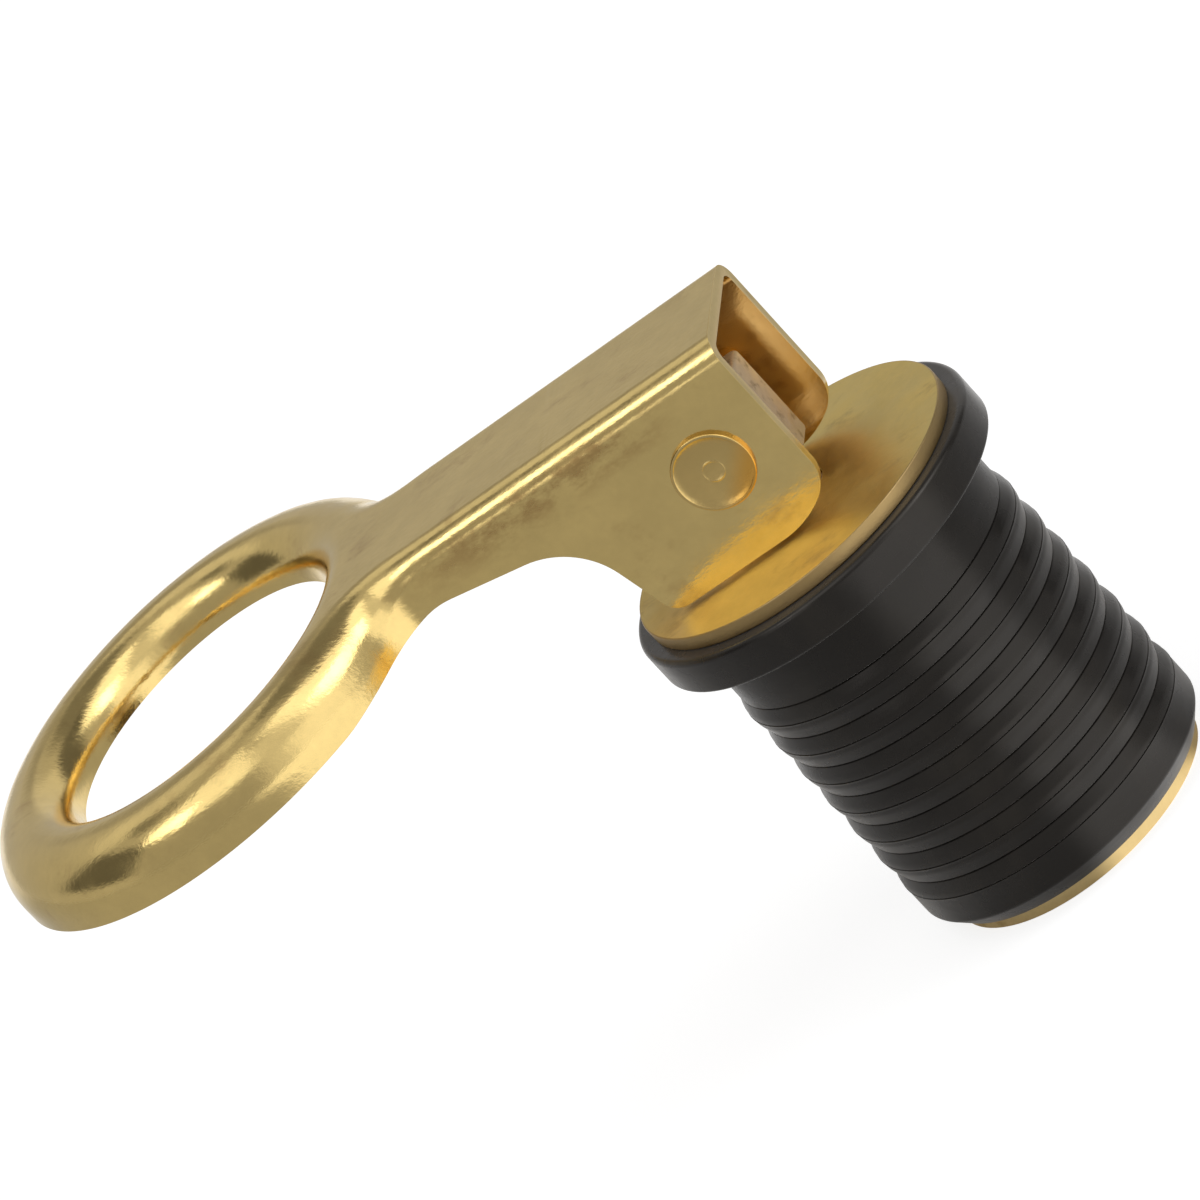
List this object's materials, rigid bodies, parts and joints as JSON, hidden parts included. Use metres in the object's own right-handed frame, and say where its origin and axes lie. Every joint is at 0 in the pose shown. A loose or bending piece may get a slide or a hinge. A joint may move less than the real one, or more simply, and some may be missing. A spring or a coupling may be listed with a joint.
{
  "type": "snap-lever drain plug for boat",
  "caption": "Expanding rubber drain plug for a boat, drawn tight by a stem and locked by a folding brass snap lever with an oval finger ring.",
  "frame": {"origin": "on the plug's axis, in the plane of the rubber flange's underside, which is the face that seats on the hull", "axes": "+Z along the plug's axis, out of the hull; the finger ring lies towards -X with the lever locked flat; Y across the lever"},
  "size_m": [0.0794, 0.0417, 0.0494],
  "materials": {
    "lever_brass": "satin, finely brushed",
    "rivet_brass": "satin",
    "stem_metal": "dull plated, worn",
    "washer_brass": "satin",
    "black_rubber": "semi-matte",
    "plate_brass": "satin"
  },
  "bodies": {
    "plug": {"rubber_body": "black_rubber", "top_washer": "washer_brass"},
    "stem": {"draw_stem": "stem_metal"},
    "lever": {"lever_handle": "lever_brass", "hinge_rivet": "rivet_brass"},
    "nut": {"bottom_plate": "plate_brass"}
  },
  "joints": [
    {"name": "stem_turn", "type": "hinge", "parent": "plug", "child": "stem", "pos_m": [0, 0, 0], "axis": [0, 0, -1], "range_deg": [0, 990]},
    {"name": "lever_flip", "type": "hinge", "parent": "stem", "child": "lever", "pos_m": [0, 0, 0.0121], "axis": [0, 1, 0], "range_deg": [0, 90]},
    {"name": "nut_slide", "type": "slide", "parent": "plug", "child": "nut", "axis": [0, 0, 1], "range_m": [0, 0.0035], "deforming": ["rubber_body"]}
  ],
  "couplings": [
    {"joint": "nut_slide", "follows": "stem_turn", "m_per_rad": 0.00020213}
  ]
}
